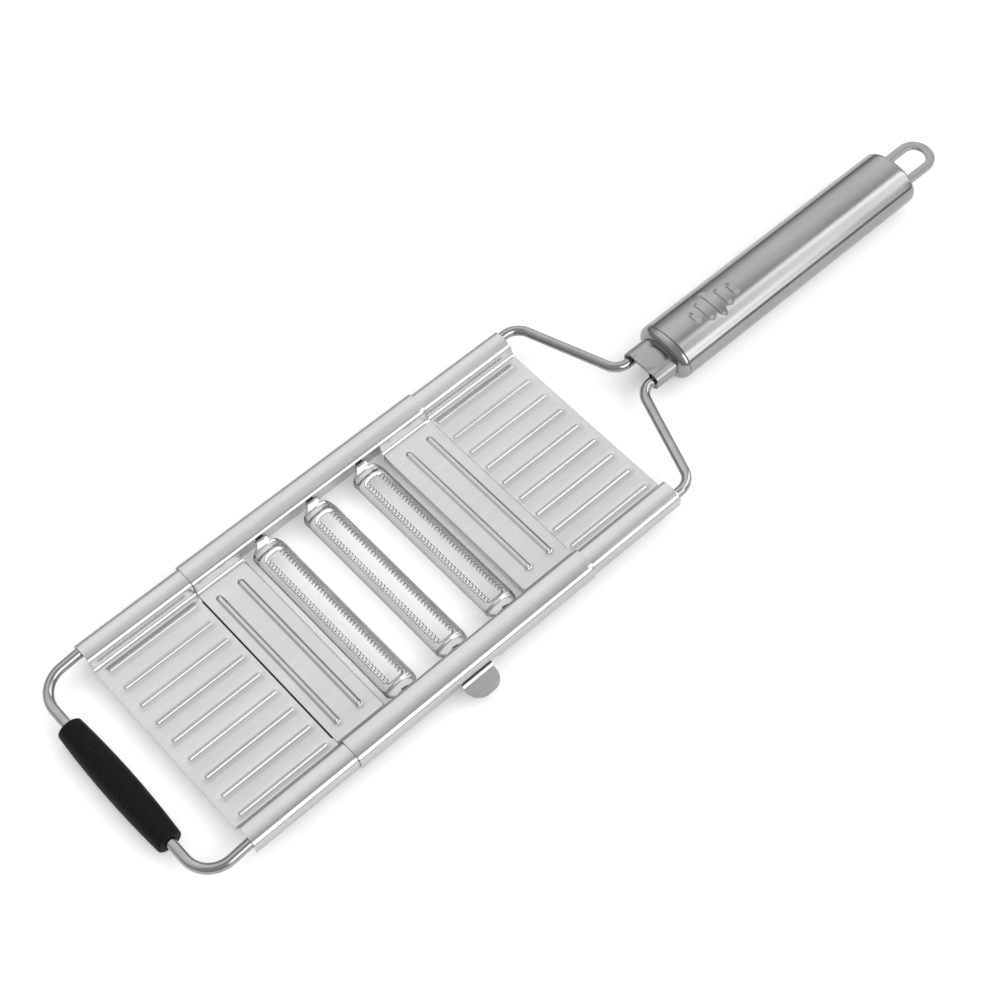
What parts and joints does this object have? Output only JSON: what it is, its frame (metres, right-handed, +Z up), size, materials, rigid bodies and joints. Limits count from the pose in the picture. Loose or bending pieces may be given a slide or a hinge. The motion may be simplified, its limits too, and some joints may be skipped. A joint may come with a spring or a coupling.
{
  "type": "mandoline slicer",
  "caption": "Hand-held stainless mandoline: ribbed trays and a blade frame on a bent wire, tilting toothed blades moved by a thumb tab, oval tube handle with a hanging loop.",
  "frame": {"origin": "on the floor plane, under the middle of the bounding box", "axes": "+X to the side with the thumb tab, +Y from the foot bar towards the handle, +Z up, away from the table"},
  "size_m": [0.1114, 0.4158, 0.0185],
  "materials": {
    "sheet_steel": "bright satin rolled stainless sheet",
    "blade_steel": "bright stamped stainless sheet",
    "wire_steel": "polished stainless wire",
    "handle_steel": "crosswise brushed stainless",
    "grip_rubber": "matte black with fine specks"
  },
  "bodies": {
    "frame": {"front_tray": "sheet_steel", "rear_tray": "sheet_steel", "centre_frame": "sheet_steel", "bearing_strip_left": "sheet_steel", "bearing_strip_right": "sheet_steel", "wire_frame": "wire_steel", "foot_grip": "grip_rubber", "neck_sleeve": "sheet_steel", "handle_collar": "handle_steel", "handle_tube": "handle_steel", "handle_end_cap": "handle_steel", "hang_loop": "handle_steel"},
    "adjuster": {"adjuster_bar": "sheet_steel"},
    "front_blade": {"blade_front": "blade_steel"},
    "middle_blade": {"blade_middle": "blade_steel"},
    "rear_blade": {"blade_rear": "blade_steel"}
  },
  "joints": [
    {"name": "adjuster_slide", "type": "slide", "parent": "frame", "child": "adjuster", "axis": [0, 1, 0], "range_m": [0, 0.003]},
    {"name": "front_blade_tilt", "type": "hinge", "parent": "frame", "child": "front_blade", "pos_m": [-0.00405, -0.10792, 0.00925], "axis": [1, 0, 0], "range_deg": [0, 28.7]},
    {"name": "middle_blade_tilt", "type": "hinge", "parent": "frame", "child": "middle_blade", "pos_m": [-0.00405, -0.08443, 0.00925], "axis": [1, 0, 0], "range_deg": [0, 28.7]},
    {"name": "rear_blade_tilt", "type": "hinge", "parent": "frame", "child": "rear_blade", "pos_m": [-0.00405, -0.06092, 0.00925], "axis": [1, 0, 0], "range_deg": [0, 28.7]}
  ],
  "couplings": [
    {"joint": "front_blade_tilt", "follows": "adjuster_slide", "rad_per_m": 166.67},
    {"joint": "middle_blade_tilt", "follows": "adjuster_slide", "rad_per_m": 166.67},
    {"joint": "rear_blade_tilt", "follows": "adjuster_slide", "rad_per_m": 166.67}
  ]
}
